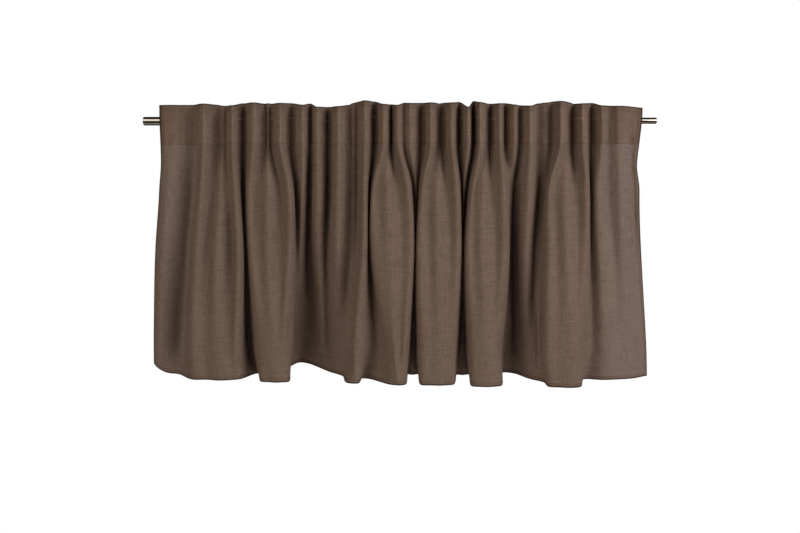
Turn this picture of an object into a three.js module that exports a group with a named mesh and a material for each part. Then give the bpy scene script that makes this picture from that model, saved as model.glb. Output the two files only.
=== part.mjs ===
// A short gathered window valance of plain woven linen-look cloth, hanging on a telescopic curtain rod.
//
// The cloth carries a heading tape sewn to its back. Straps on that tape pass behind the rod at the deep
// folds, so the cloth stands in front of the rod and falls from it in uneven folds.
//
// Millimetres. X runs along the rod, -Y faces the room, +Z is up. The origin is on the rod's axis at
// mid-length. A depth is a distance in front of the rod's axis, so depth d lies at y = -d.

import * as THREE from 'three';

// ---- Driving dimensions ------------------------------------------------------------------------------

const rod = {
  halfLength: 563,
  outerRadius: 9.5,
  innerRadius: 8,
  wall: 1,
  outerTubeEnd: 140,
  innerTubeStart: -60,
  endChamfer: 0.6,
  endWall: 2,
  facets: 32,
};

const cloth = {
  thickness: 1.2,
  topEdge: 33,
  hem: -561,
  foldsStartTurning: -44,
};

const tape = {
  thickness: 1,
  top: 22,
  bottom: -50,
  gapToCloth: 0.3,
  insetColumns: 1,
};

const strap = {
  width: 12,
  thickness: 1,
  clearance: 0.3,
  tabTop: 21,
  leavesTapeAbove: 14,
  meetsTapeBelow: -24,
  tabBottom: -36,
  arcSteps: 5,
};

// Heights of the table's five levels.
const level = { head: cloth.foldsStartTurning, upper: -150, middle: -285, low: -490, hem: cloth.hem };
const levelHeights = [level.head, level.upper, level.middle, level.low, level.hem];

// How full the crests are at each level: 0 keeps a crest narrow, 1 swells it by its whole flank.
const fullness = [0, 0.4, 0.65, 0.7, 0.7];

// Heights of the cloth's rows of facets, top edge to hem.
const rowsBetween = [-90, -130, -175, -230, -290, -355, -425];
const rowHeights = [cloth.topEdge, tape.bottom, ...rowsBetween, level.low, cloth.hem];

// The fold lines from the left edge to the right one. Each has its place along the rod and its depth at
// five heights: in the heading, on the shoulder under it, at mid-drop, low down and at the hem. The last
// column is how far the top edge stands above or below its nominal height there. A held line is a valley
// that a strap ties to the rod.
//
//   kind       head x, d     upper x, d    middle x, d   low x, d      hem x, d      top
const foldTable = [
  ['edge',    -524, 17,     -525, 15,     -539, -2,     -553, -34,    -558, -50,    0],
  ['crest',   -489, 26,     -499, 30,     -514, 22,     -536, -16,    -546, -36,    -1],
  ['valley',  -451, 13,     -454, 5,      -470, -5,     -490, -36,    -502, -44,    1],
  ['crest',   -418, 52,     -420, 52,     -428, 50,     -442, 40,     -444, 34,     -2],
  ['valley',  -399, 15,     -406, 28,     -410, 32,     -415, 37,     -416, 34,     1],
  ['crest',   -384, 21,     -383, 43,     -387, 52,     -391, 47,     -388, 42,     -2],
  ['valley',  -376, 19,     -370, 33,     -363, 32,     -362, 42,     -359, 36,     -2],
  ['crest',   -356, 55,     -349, 57,     -342, 58,     -347, 49,     -346, 29,     -6],
  ['held',    -343, 15,     -344, 8,      -341, -2,     -338, -16,    -318, -28,    4],
  ['crest',   -309, 55,     -321, 50,     -317, 49,     -298, 46,     -288, 52,     0],
  ['valley',  -296, 17,     -302, 35,     -301, 40,     -283, 53,     -278, 57,     3],
  ['crest',   -286, 22,     -275, 55,     -278, 56,     -269, 58,     -264, 62,     3],
  ['held',    -279, 17,     -256, 34,     -253, 38,     -257, 57,     -252, 60,     3],
  ['crest',   -255, 55,     -234, 58,     -233, 58,     -246, 55,     -241, 54,     -1],
  ['held',    -237, 17,     -228, 16,     -229, 5,      -237, -42,    -251, -46,    4],
  ['crest',   -206, 55,     -208, 42,     -218, 7,      -225, -54,    -235, -62,    -5],
  ['held',    -195, 25,     -200, 2,      -205, -28,    -198, -62,    -214, -70,    3],
  ['crest',   -176, 54,     -175, 52,     -177, 22,     -171, -36,    -172, -50,    -12],
  ['held',    -157, 14,     -160, 6,      -161, 2,      -160, -40,    -151, -34,    2],
  ['crest',   -131, 56,     -131, 58,     -135, 42,     -134, -19,    -130, -8,     -8],
  ['valley',  -110, 20,     -110, 20,     -111, 18,     -116, 2,      -124, 4,      0],
  ['crest',   -101, 27,     -101, 28,     -102, 23,     -109, 14,     -120, 22,     3],
  ['valley',  -92, 23,      -91, 24,      -93, 24,      -104, 28,     -116, 44,     6],
  ['crest',   -74, 57,      -76, 61,      -78, 63,      -93, 66,      -99, 72,      4],
  ['held',    -57, 15,      -64, 19,      -67, 18,      -54, 18,      -83, 26,      8],
  ['crest',   -34, 54,      -54, 57,      -54, 59,      -16, 77,      -16, 83,      -3],
  ['valley',  -25, 40,      -40, 42,      -36, 62,      -9, 81,       -9, 85,       -2],
  ['crest',   -22, 28,      -18, 62,      -17, 71,      -7, 84,       -4, 87,       0],
  ['held',    -20, 20,      3, 40,        8, 66,        -2, 84,       1, 87,        1],
  ['crest',   -5, 54,       19, 57,       22, 68,       6, 79,        8, 79,        -5],
  ['valley',  10, 38,       30, 20,       30, 14,       28, 0,        16, -20,      2],
  ['crest',   21, 54,       35, 32,       32, 22,       30, 4,        27, -15,      -1],
  ['held',    49, 15,       40, 24,       34, 14,       35, -3,       42, -21,      5],
  ['crest',   66, 55,       49, 60,       45, 67,       45, 77,       48, 84,       0],
  ['valley',  83, 21,       68, 46,       68, 59,       67, 81,       67, 87,       3],
  ['crest',   88, 16,       86, 64,       84, 72,       83, 85,       83, 89,       4],
  ['held',    94, 15,       104, 41,      109, 60,      99, 82,       100, 85,      5],
  ['crest',   110, 55,      121, 60,      123, 66,      109, 76,      109, 78,      0],
  ['held',    129, 15,      138, 16,      135, 14,      135, 1,       126, -16,     7],
  ['crest',   145, 54,      140, 30,      136, 20,      138, 4,       137, -12,     -9],
  ['held',    161, 15,      147, 12,      139, 13,      144, -2,      156, -18,     9],
  ['crest',   174, 56,      156, 60,      147, 66,      150, 81,      152, 96,      1],
  ['valley',  187, 33,      171, 48,      164, 60,      166, 87,      165, 100,     1],
  ['crest',   192, 24,      183, 60,      180, 75,      183, 91,      181, 102,     2],
  ['held',    198, 15,      204, 41,      209, 62,      195, 88,      194, 99,      3],
  ['crest',   213, 56,      220, 61,      220, 70,      200, 82,      205, 91,      -2],
  ['held',    230, 16,      232, 42,      240, 10,      235, -14,     231, -38,     3],
  ['crest',   249, 52,      243, 23,      246, 2,       246, -22,     243, -37,     -4],
  ['valley',  262, 26,      255, 4,       253, -8,      262, -33,     259, -23,     -2],
  ['crest',   277, 56,      272, 58,      268, 48,      275, 18,      276, 18,      -7],
  ['valley',  301, 20,      309, 11,      296, 15,      291, 30,      288, 37,      3],
  ['crest',   315, 27,      312, 17,      301, 21,      297, 29,      297, 47,      4],
  ['valley',  336, 18,      315, 23,      305, 29,      302, 38,      306, 62,      8],
  ['crest',   344, 56,      316, 61,      314, 67,      307, 92,      309, 99,      3],
  ['valley',  356, 40,      338, 48,      337, 62,      326, 98,      329, 105,     4],
  ['crest',   365, 31,      357, 60,      353, 73,      350, 104,     346, 109,     4],
  ['held',    380, 15,      385, 41,      377, 62,      364, 103,     360, 107,     3],
  ['crest',   390, 55,      396, 58,      392, 67,      371, 96,      369, 100,     -2],
  ['held',    419, 14,      417, 19,      415, 30,      411, 34,      397, 29,      5],
  ['crest',   434, 47,      422, 52,      427, 50,      436, 38,      436, 32,      -5],
  ['valley',  465, 22,      457, 28,      461, 33,      470, 31,      466, 30,      -3],
  ['crest',   488, 34,      482, 46,      492, 44,      495, 34,      502, 27,      -5],
  ['edge',    525, 25,      519, 24,      523, 22,      540, 4,       545, -6,      -7],
];
const foldLines = foldTable.map(([kind, ...columns]) => {
  const top = columns.pop();
  return {
    kind,
    x: columns.filter((_, column) => column % 2 === 0),
    depth: columns.filter((_, column) => column % 2 === 1),
    top,
  };
});

// The hem rises where the cloth swings behind the rod, at the left corner and in the deepest valley. It
// does so in full from this distance behind the rod's axis.
const hemRises = [
  { x: -560, reach: 50, rise: 18 },
  { x: -222, reach: 75, rise: 15 },
];
const riseBehind = 15;

// The right side hem draws in just under the heading, and the left one a little.
const edgeWaist = { height: -92, reachZ: 62, edgeX: 525, reachX: 60, left: 3, right: 9 };

// ---- Cloth shape -------------------------------------------------------------------------------------

const smooth = (t) => t * t * (3 - 2 * t);

// One value at a height, carried smoothly between its values at the levels and straight above them.
function alongDrop(values, z) {
  const heights = levelHeights;
  if (z >= heights[0]) return values[0];
  const last = heights.length - 1;
  let i = 0;
  while (i < last - 1 && z < heights[i + 1]) i += 1;
  const slope = (k) => {
    if (k === 0) return 0;
    const ahead = Math.min(k + 1, last);
    return (values[ahead] - values[k - 1]) / (heights[ahead] - heights[k - 1]);
  };
  const span = heights[i + 1] - heights[i];
  const t = (z - heights[i]) / span;
  const t2 = t * t;
  const t3 = t2 * t;
  return (
    values[i] * (2 * t3 - 3 * t2 + 1) +
    slope(i) * span * (t3 - 2 * t2 + t) +
    values[i + 1] * (3 * t2 - 2 * t3) +
    slope(i + 1) * span * (t3 - t2)
  );
}

// Where the side edges draw in at a height.
function waistShift(x, z) {
  const down = Math.abs(z - edgeWaist.height) / edgeWaist.reachZ;
  if (down >= 1) return 0;
  const fromEdge = (edgeWaist.edgeX - Math.abs(x)) / edgeWaist.reachX;
  if (fromEdge >= 1) return 0;
  const strength = smooth(1 - down) * smooth(1 - Math.max(fromEdge, 0));
  return x < 0 ? edgeWaist.left * strength : -edgeWaist.right * strength;
}

// The fold lines' points in plan at a height: x along the rod and y toward the back.
function planPoints(z) {
  return foldLines.map((line) => {
    const x = alongDrop(line.x, z);
    return new THREE.Vector2(x + waistShift(x, z), -alongDrop(line.depth, z));
  });
}

// Directions in which the plan curve passes each of its points: halfway between its two chords.
function planDirections(points) {
  const chords = points.slice(1).map((p, i) => p.clone().sub(points[i]).normalize());
  return points.map((_, i) => {
    const before = chords[Math.max(i - 1, 0)];
    const after = chords[Math.min(i, chords.length - 1)];
    return before.clone().add(after).normalize();
  });
}

// A point of the curve between two points that leaves and reaches them along their directions. A pull is
// how far the curve holds to a direction.
function planCurve(a, dirA, pullA, b, dirB, pullB, t) {
  const t2 = t * t;
  const t3 = t2 * t;
  return new THREE.Vector2()
    .addScaledVector(a, 2 * t3 - 3 * t2 + 1)
    .addScaledVector(dirA, pullA * (t3 - 2 * t2 + t))
    .addScaledVector(b, 3 * t2 - 2 * t3)
    .addScaledVector(dirB, pullB * (t3 - t2));
}

// Steps between two fold lines: a long flank bends near both its ends, a short one has a single step more.
const longFlank = 32;
const longFlankSteps = [0, 0.22, 0.78];
const shortFlankSteps = [0, 0.5];

const flankSteps = foldLines.slice(1).map((line, i) => {
  const before = foldLines[i];
  const lengths = line.x.map((x, k) => Math.hypot(x - before.x[k], line.depth[k] - before.depth[k]));
  return Math.max(...lengths) > longFlank ? longFlankSteps : shortFlankSteps;
});

// The mid-line of the cloth in plan at a height. Crests swell with their fullness, and valleys stay slack.
function planLine(z) {
  const points = planPoints(z);
  const directions = planDirections(points);
  const full = alongDrop(fullness, z);
  const line = [];
  flankSteps.forEach((steps, i) => {
    const slack = Math.abs(points[i + 1].x - points[i].x);
    const swollen = THREE.MathUtils.lerp(slack, points[i].distanceTo(points[i + 1]), full);
    const [leaving, reaching] = [i, i + 1].map((k) => (foldLines[k].kind === 'crest' ? swollen : slack));
    for (const t of steps) {
      line.push(planCurve(points[i], directions[i], leaving, points[i + 1], directions[i + 1], reaching, t));
    }
  });
  line.push(points[points.length - 1].clone());
  return line;
}

// The plan line moved sideways by a distance, to the back where it is positive, with mitred corners. A
// mitre at a sharp corner is cut short at this cosine of half its turn.
const sharpestMitre = 0.6;

function offsetLine(line, distance) {
  return line.map((p, i) => {
    const before = line[Math.max(i - 1, 0)];
    const after = line[Math.min(i + 1, line.length - 1)];
    const into = p.clone().sub(before);
    const out = after.clone().sub(p);
    if (i === 0) into.copy(out);
    if (i === line.length - 1) out.copy(into);
    into.normalize();
    out.normalize();
    const along = into.clone().add(out).normalize();
    const halfTurn = Math.max(along.dot(out), sharpestMitre);
    return new THREE.Vector2(p.x - (along.y * distance) / halfTurn, p.y + (along.x * distance) / halfTurn);
  });
}

// How far the top edge and the heading stand off their nominal height, column by column.
const topLifts = flankSteps.flatMap((steps, i) =>
  steps.map((t) => THREE.MathUtils.lerp(foldLines[i].top, foldLines[i + 1].top, smooth(t))),
);
topLifts.push(foldLines[foldLines.length - 1].top);

function heightAt(z, point, column) {
  const headingShare = THREE.MathUtils.clamp((z - level.head) / (tape.top - level.head), 0, 1);
  const dropShare = THREE.MathUtils.clamp((level.middle - z) / (level.middle - level.hem), 0, 1);
  const behindShare = THREE.MathUtils.clamp(point.y / riseBehind, 0, 1);
  let height = z + topLifts[column] * headingShare;
  for (const { x: at, reach, rise } of hemRises) {
    const nearness = Math.max(1 - Math.abs(point.x - at) / reach, 0);
    height += rise * smooth(nearness) * dropShare * behindShare;
  }
  return height;
}

// A closed sheet between two offsets of the cloth's plan lines, over some rows and columns.
function sheetGeometry(heights, frontOffset, backOffset, firstColumn, lastColumn) {
  const positions = [];
  const rows = heights.map((z) => {
    const middle = planLine(z);
    return [frontOffset, backOffset].map((offset) =>
      offsetLine(middle, offset)
        .map((p, column) => [p.x, p.y, heightAt(z, middle[column], column)])
        .slice(firstColumn, lastColumn + 1),
    );
  });
  const columns = rows[0][0].length;
  for (const sides of rows) {
    for (const side of sides) {
      for (const point of side) positions.push(...point);
    }
  }
  const index = (row, side, column) => (row * 2 + side) * columns + column;
  const triangles = [];
  const quad = (a, b, c, d) => triangles.push(a, b, c, a, c, d);
  for (let row = 0; row < heights.length - 1; row += 1) {
    for (let column = 0; column < columns - 1; column += 1) {
      const next = column + 1;
      quad(index(row, 0, column), index(row + 1, 0, column), index(row + 1, 0, next), index(row, 0, next));
      quad(index(row, 1, column), index(row, 1, next), index(row + 1, 1, next), index(row + 1, 1, column));
    }
    const end = columns - 1;
    quad(index(row, 0, 0), index(row, 1, 0), index(row + 1, 1, 0), index(row + 1, 0, 0));
    quad(index(row, 0, end), index(row + 1, 0, end), index(row + 1, 1, end), index(row, 1, end));
  }
  const bottom = heights.length - 1;
  for (let column = 0; column < columns - 1; column += 1) {
    const next = column + 1;
    quad(index(0, 0, column), index(0, 0, next), index(0, 1, next), index(0, 1, column));
    quad(index(bottom, 0, column), index(bottom, 1, column), index(bottom, 1, next), index(bottom, 0, next));
  }
  const geometry = new THREE.BufferGeometry();
  geometry.setAttribute('position', new THREE.Float32BufferAttribute(positions, 3));
  geometry.setIndex(triangles);
  geometry.computeVertexNormals();
  return geometry;
}

function clothGeometry() {
  const half = cloth.thickness / 2;
  return sheetGeometry(rowHeights, -half, half, 0, topLifts.length - 1);
}

const tapeFrontOffset = cloth.thickness / 2 + tape.gapToCloth;
const tapeBackOffset = tapeFrontOffset + tape.thickness;

function tapeGeometry() {
  return sheetGeometry(
    [tape.top, tape.bottom],
    tapeFrontOffset,
    tapeBackOffset,
    tape.insetColumns,
    topLifts.length - 1 - tape.insetColumns,
  );
}

// ---- Rod ---------------------------------------------------------------------------------------------

// A tube along X, closed by a flat wall at its outer end and open at its inner one.
function tubeGeometry(radius, closedEnd, openEnd) {
  const length = Math.abs(openEnd - closedEnd);
  const bore = radius - rod.wall;
  const profile = [
    [0, 0],
    [radius - rod.endChamfer, 0],
    [radius, rod.endChamfer],
    [radius, length],
    [bore, length],
    [bore, rod.endWall],
    [0, rod.endWall],
  ].map(([r, along]) => new THREE.Vector2(r, along));
  const geometry = new THREE.LatheGeometry(profile, rod.facets);
  geometry.rotateZ(closedEnd < openEnd ? -Math.PI / 2 : Math.PI / 2);
  geometry.translate(closedEnd, 0, 0);
  return geometry;
}

// ---- Straps ------------------------------------------------------------------------------------------

// A flat ribbon's outline from the line down its middle.
function ribbonShape(path, thickness) {
  const left = offsetLine(path, thickness / 2);
  const right = offsetLine(path, -thickness / 2);
  return new THREE.Shape([...left, ...right.reverse()]);
}

// The rearmost reach of the tape's back about a place along the rod.
function tapeBackNear(x) {
  const near = offsetLine(planLine(0), tapeBackOffset).filter((p) => Math.abs(p.x - x) < strap.width);
  return Math.max(...near.map((p) => p.y));
}

// A strap leaves the tape above the rod, lies over the rod's back and meets the tape again below it.
function strapGeometry(line) {
  const rodRadius = line.x[0] < rod.outerTubeEnd ? rod.outerRadius : rod.innerRadius;
  const wrapRadius = rodRadius + strap.clearance + strap.thickness / 2;
  const tabY = tapeBackNear(line.x[0]) + strap.clearance + strap.thickness / 2;
  const above = new THREE.Vector2(tabY, strap.leavesTapeAbove);
  const below = new THREE.Vector2(tabY, strap.meetsTapeBelow);
  const startAngle = above.angle() - Math.acos(wrapRadius / above.length());
  const endAngle = below.angle() + Math.acos(wrapRadius / below.length()) - 2 * Math.PI;
  const path = [new THREE.Vector2(tabY, strap.tabTop), above];
  const cornerRadius = wrapRadius / Math.cos((startAngle - endAngle) / strap.arcSteps / 2);
  for (let step = 0; step <= strap.arcSteps; step += 1) {
    const angle = THREE.MathUtils.lerp(startAngle, endAngle, step / strap.arcSteps);
    path.push(new THREE.Vector2(cornerRadius * Math.cos(angle), cornerRadius * Math.sin(angle)));
  }
  path.push(below, new THREE.Vector2(tabY, strap.tabBottom));
  const geometry = new THREE.ExtrudeGeometry(ribbonShape(path, strap.thickness), {
    depth: strap.width,
    bevelEnabled: false,
  });
  geometry.rotateY(Math.PI / 2);
  geometry.rotateX(Math.PI / 2);
  geometry.translate(line.x[0] - strap.width / 2, 0, 0);
  return geometry;
}

// ---- Assembly ----------------------------------------------------------------------------------------

const clothMaterial = new THREE.MeshStandardMaterial({ color: 0x5f4c40, roughness: 0.92, metalness: 0 });
const tapeMaterial = new THREE.MeshStandardMaterial({ color: 0x8a7a6a, roughness: 0.9, metalness: 0 });
const rodMaterial = new THREE.MeshStandardMaterial({ color: 0x8c8070, roughness: 0.28, metalness: 1 });

const valance = new THREE.Group();

function addMesh(name, geometry, material) {
  const mesh = new THREE.Mesh(geometry, material);
  mesh.name = name;
  valance.add(mesh);
}

addMesh('valance_cloth', clothGeometry(), clothMaterial);
addMesh('heading_tape', tapeGeometry(), tapeMaterial);
addMesh('rod_outer_tube', tubeGeometry(rod.outerRadius, -rod.halfLength, rod.outerTubeEnd), rodMaterial);
addMesh('rod_inner_tube', tubeGeometry(rod.innerRadius, rod.halfLength, rod.innerTubeStart), rodMaterial);

foldLines
  .filter((line) => line.kind === 'held')
  .forEach((line, i) => {
    addMesh(`rod_strap_${String(i + 1).padStart(2, '0')}`, strapGeometry(line), tapeMaterial);
  });

export default valance;
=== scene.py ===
"""A short gathered window valance of brown linen-look cloth on a telescopic curtain rod.

The cloth, its heading tape and straps and the rod are fine versions of the frame's own pieces. Lengths are
given in millimetres and turned into metres where meshes are made. X runs along the rod, -Y faces the room,
+Z is up, and the origin is on the rod's axis at mid-length. A depth is a distance in front of that axis.
"""

from __future__ import annotations

import logging
import math
from dataclasses import dataclass, field
from enum import Enum

import bpy
import numpy as np
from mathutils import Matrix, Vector

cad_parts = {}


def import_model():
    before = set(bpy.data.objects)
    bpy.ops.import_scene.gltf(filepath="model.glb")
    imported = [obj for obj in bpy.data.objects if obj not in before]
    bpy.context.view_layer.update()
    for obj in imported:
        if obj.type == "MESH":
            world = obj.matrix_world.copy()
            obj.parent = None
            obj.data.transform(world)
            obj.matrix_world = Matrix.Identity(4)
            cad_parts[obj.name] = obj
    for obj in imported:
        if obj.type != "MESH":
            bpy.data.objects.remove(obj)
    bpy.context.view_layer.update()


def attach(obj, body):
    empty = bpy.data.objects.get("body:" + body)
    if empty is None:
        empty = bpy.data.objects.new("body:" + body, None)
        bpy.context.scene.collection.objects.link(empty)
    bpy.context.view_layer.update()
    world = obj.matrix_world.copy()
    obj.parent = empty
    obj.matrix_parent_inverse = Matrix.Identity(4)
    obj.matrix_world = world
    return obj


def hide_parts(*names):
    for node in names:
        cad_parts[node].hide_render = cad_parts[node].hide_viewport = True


MM = 0.001
LOG = logging.getLogger("valance")
FLAT_CLOTH = "flat_cloth"
TACKED = "tacked"

Color = tuple[float, float, float]
Place = tuple[float, float, float]
Socket = bpy.types.NodeSocket


class FoldKind(Enum):
    """What a fold line is."""

    EDGE = "edge"
    CREST = "crest"
    VALLEY = "valley"
    HELD = "held"


# The fold lines from the left edge to the right one: place along the rod and depth in the heading, on the
# shoulder under it, at mid-drop, low down and at the hem, and how far the top edge stands off its nominal
# height.
#
#    kind      head x, d     upper x, d    middle x, d   low x, d      hem x, d      top
FOLD_TABLE: tuple[tuple[str | float, ...], ...] = (
    ("edge", -524, 17, -525, 15, -539, -2, -553, -34, -558, -50, 0),
    ("crest", -489, 26, -499, 30, -514, 22, -536, -16, -546, -36, -1),
    ("valley", -451, 13, -454, 5, -470, -5, -490, -36, -495, -22, 1),
    ("crest", -418, 52, -422, 52, -433, 49, -447, 39, -444, 34, -2),
    ("valley", -399, 15, -406, 28, -415, 33, -420, 39, -416, 34, 1),
    ("crest", -384, 21, -383, 43, -390, 52, -393, 48, -388, 42, -2),
    ("valley", -376, 19, -369, 37, -363, 32, -364, 45, -359, 36, -2),
    ("crest", -356, 55, -349, 57, -342, 58, -349, 49, -346, 29, -6),
    ("held", -343, 15, -344, 8, -341, -2, -338, -16, -318, -28, 4),
    ("crest", -309, 55, -321, 50, -318, 49, -301, 46, -294, 54, 0),
    ("valley", -296, 17, -305, 36, -303, 43, -283, 55, -278, 57, 3),
    ("crest", -286, 22, -279, 55, -281, 56, -269, 57, -264, 62, 3),
    ("held", -279, 17, -259, 34, -255, 43, -257, 57, -252, 60, 3),
    ("crest", -255, 55, -234, 58, -233, 58, -248, 55, -238, 55, -1),
    ("held", -237, 17, -229, 17, -229, 5, -239, -52, -251, -46, 4),
    ("crest", -206, 55, -208, 42, -218, 7, -226, -76, -235, -78, -5),
    ("held", -195, 25, -200, 2, -205, -28, -204, -66, -216, -71, 2),
    ("crest", -176, 54, -175, 52, -177, 22, -171, -36, -172, -50, -9),
    ("held", -157, 14, -158, 9, -161, 2, -160, -40, -151, -34, -4),
    ("crest", -131, 56, -131, 58, -135, 42, -134, -24, -130, -8, -8),
    ("valley", -110, 20, -110, 20, -111, 18, -117, -4, -124, 4, 0),
    ("crest", -101, 27, -101, 28, -102, 23, -109, 14, -118, 46, 3),
    ("valley", -92, 23, -91, 24, -93, 24, -105, 28, -112, 64, 6),
    ("crest", -74, 57, -75, 61, -77, 63, -95, 66, -89, 70, 4),
    ("held", -57, 15, -64, 19, -67, 18, -51, 31, -83, 22, 8),
    ("crest", -34, 54, -56, 57, -57, 59, -24, 74, -16, 83, -3),
    ("valley", -25, 40, -47, 49, -40, 64, -17, 80, -9, 85, -2),
    ("crest", -22, 28, -26, 61, -21, 69, -11, 84, -4, 87, 0),
    ("held", -20, 20, -5, 42, 3, 64, 0, 77, 1, 87, 1),
    ("crest", -5, 54, 19, 57, 25, 68, 8, 80, 11, 80, -5),
    ("valley", 10, 38, 30, 20, 30, 14, 27, 0, 16, -20, 2),
    ("crest", 21, 54, 35, 32, 32, 16, 31, 1, 27, -15, -1),
    ("held", 49, 15, 40, 24, 34, 14, 35, -2, 42, -21, 5),
    ("crest", 66, 55, 48, 60, 40, 67, 44, 77, 45, 84, 0),
    ("valley", 83, 21, 60, 50, 62, 62, 67, 83, 67, 87, 3),
    ("crest", 88, 16, 81, 61, 79, 71, 83, 85, 83, 89, 4),
    ("held", 94, 15, 100, 43, 104, 61, 99, 82, 100, 85, 5),
    ("crest", 110, 55, 121, 60, 124, 66, 111, 76, 111, 80, 0),
    ("held", 129, 15, 136, 16, 135, 14, 135, 1, 126, -16, 7),
    ("crest", 145, 54, 137, 36, 137, 15, 139, 1, 137, -12, -9),
    ("held", 161, 15, 147, 12, 139, 13, 144, -2, 156, -18, 9),
    ("crest", 170, 54, 155, 60, 143, 66, 150, 81, 150, 96, 1),
    ("valley", 187, 33, 160, 51, 155, 65, 166, 89, 165, 100, 1),
    ("crest", 192, 24, 177, 60, 172, 74, 183, 91, 181, 102, 2),
    ("held", 198, 15, 197, 43, 201, 62, 195, 88, 194, 99, 3),
    ("crest", 212, 56, 220, 61, 220, 70, 200, 82, 209, 91, -2),
    ("held", 228, 24, 232, 42, 240, 10, 235, -14, 231, -38, 3),
    ("crest", 244, 52, 243, 23, 246, 2, 246, -22, 243, -37, -4),
    ("valley", 259, 26, 252, 5, 253, -8, 262, -33, 259, -23, -2),
    ("crest", 277, 56, 272, 58, 268, 48, 275, 18, 276, 18, -7),
    ("valley", 301, 20, 309, 11, 296, 15, 291, 30, 288, 37, 3),
    ("crest", 315, 27, 312, 17, 301, 21, 297, 29, 297, 47, 4),
    ("valley", 336, 18, 315, 23, 305, 29, 302, 38, 306, 62, 8),
    ("crest", 341, 56, 316, 61, 314, 67, 303, 92, 307, 99, 3),
    ("valley", 356, 40, 332, 49, 333, 62, 326, 98, 329, 105, 4),
    ("crest", 365, 31, 351, 60, 350, 73, 350, 104, 346, 109, 4),
    ("held", 380, 15, 379, 41, 375, 62, 364, 103, 360, 107, 3),
    ("crest", 387, 55, 396, 58, 391, 67, 370, 96, 372, 100, -2),
    ("held", 419, 14, 417, 19, 415, 30, 411, 34, 397, 29, 5),
    ("crest", 431, 46, 419, 52, 424, 49, 435, 43, 434, 36, -5),
    ("valley", 452, 28, 452, 31, 458, 37, 469, 34, 466, 32, -3),
    ("crest", 469, 40, 470, 46, 475, 45, 500, 27, 503, 22, -5),
    ("edge", 525, 25, 519, 24, 523, 22, 540, 4, 545, -6, -7),
)


@dataclass(frozen=True)
class FoldLine:
    """One crest or valley of the cloth, from the heading to the hem, in millimetres."""

    kind: FoldKind
    across: tuple[float, ...]
    depth: tuple[float, ...]
    top: float


def fold_lines() -> list[FoldLine]:
    """Reads the fold table.

    Returns:
        The fold lines from the left edge to the right one.
    """
    lines = []
    for kind, *levels, top in FOLD_TABLE:
        lines.append(FoldLine(FoldKind(kind), tuple(levels[0::2]), tuple(levels[1::2]), top))
    return lines


# Soft creases in the hanging cloth: place along the rod and height at both ends, how far each reaches to
# its sides, and how far it stands forward of the folds (a trough where that is negative).
#
#    top x, z      bottom x, z   reach  forward
CREASE_TABLE: tuple[tuple[float, ...], ...] = (
    (5, 10, 32, -150, 3.5, 1.6),
    (-520, -20, -540, -330, 9, -2.0),
    (-478, -60, -486, -470, 10, 2.5),
    (494, 20, 514, -330, 7, -11.0),
    (431, -90, 440, -300, 8, 2.0),
)


@dataclass(frozen=True)
class Crease:
    """One soft ridge or trough of the cloth, in millimetres."""

    top: tuple[float, float]
    bottom: tuple[float, float]
    reach: float
    forward: float
    bluntness: float = 0.7

    def depth_at(self, x: np.ndarray, z: np.ndarray) -> np.ndarray:
        """How far the crease brings the cloth forward.

        Args:
            x: Places along the rod.
            z: Heights.

        Returns:
            One distance for each place.
        """
        (top_x, top_z), (bottom_x, bottom_z) = self.top, self.bottom
        down = np.clip((top_z - z) / (top_z - bottom_z), 0, 1)
        aside = (x - (top_x + down * (bottom_x - top_x))) / self.reach
        return self.forward * np.sin(math.pi * down) ** self.bluntness * np.exp(-(aside**2))


def smooth(t: np.ndarray | float) -> np.ndarray | float:
    """Eases a share from 0 to 1."""
    return t * t * (3 - 2 * t)


@dataclass(frozen=True)
class HemRise:
    """A place where the cloth swings behind the rod and its hem stands higher, in millimetres."""

    across: float
    reach: float
    rise: float

    def height_at(self, x: np.ndarray) -> np.ndarray:
        """How far the hem is raised, for each place along the rod."""
        return self.rise * smooth(np.clip(1 - np.abs(x - self.across) / self.reach, 0, 1))


@dataclass(frozen=True)
class Sewing:
    """Where the cloth's seams and turned edges lie on the flat cloth, in millimetres."""

    top_seam: float = 11
    lower_seam: float = 86
    tack_seam: float = 32
    hem: float = 8
    side_hem: float = 10
    turned_edge: float = 3.6
    side_panel: tuple[float, float] = (80, 140)
    stitch: float = 3.4
    thread: float = 0.7


def curve_between(
    t: np.ndarray | float, start: np.ndarray, leaving: np.ndarray, end: np.ndarray, reaching: np.ndarray
) -> np.ndarray:
    """Follows the smooth curve with given ends and directions.

    Args:
        t: The share of the way.
        start: Where the curve starts.
        leaving: Its direction there, with its pull.
        end: Where the curve ends.
        reaching: Its direction there, with its pull.

    Returns:
        The curve's place at that share.
    """
    return (
        start * (2 * t**3 - 3 * t**2 + 1)
        + leaving * (t**3 - 2 * t**2 + t)
        + end * (3 * t**2 - 2 * t**3)
        + reaching * (t**3 - t**2)
    )


def running_total(steps: np.ndarray) -> np.ndarray:
    """Adds up steps one by one, from 0."""
    return np.concatenate([[0.0], np.cumsum(steps)])


def flat_places(grid: np.ndarray) -> np.ndarray:
    """Each column's place across the flat cloth, from the mean steps between the grid's columns."""
    return running_total(np.linalg.norm(np.diff(grid, axis=1), axis=2).mean(axis=0))


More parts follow.
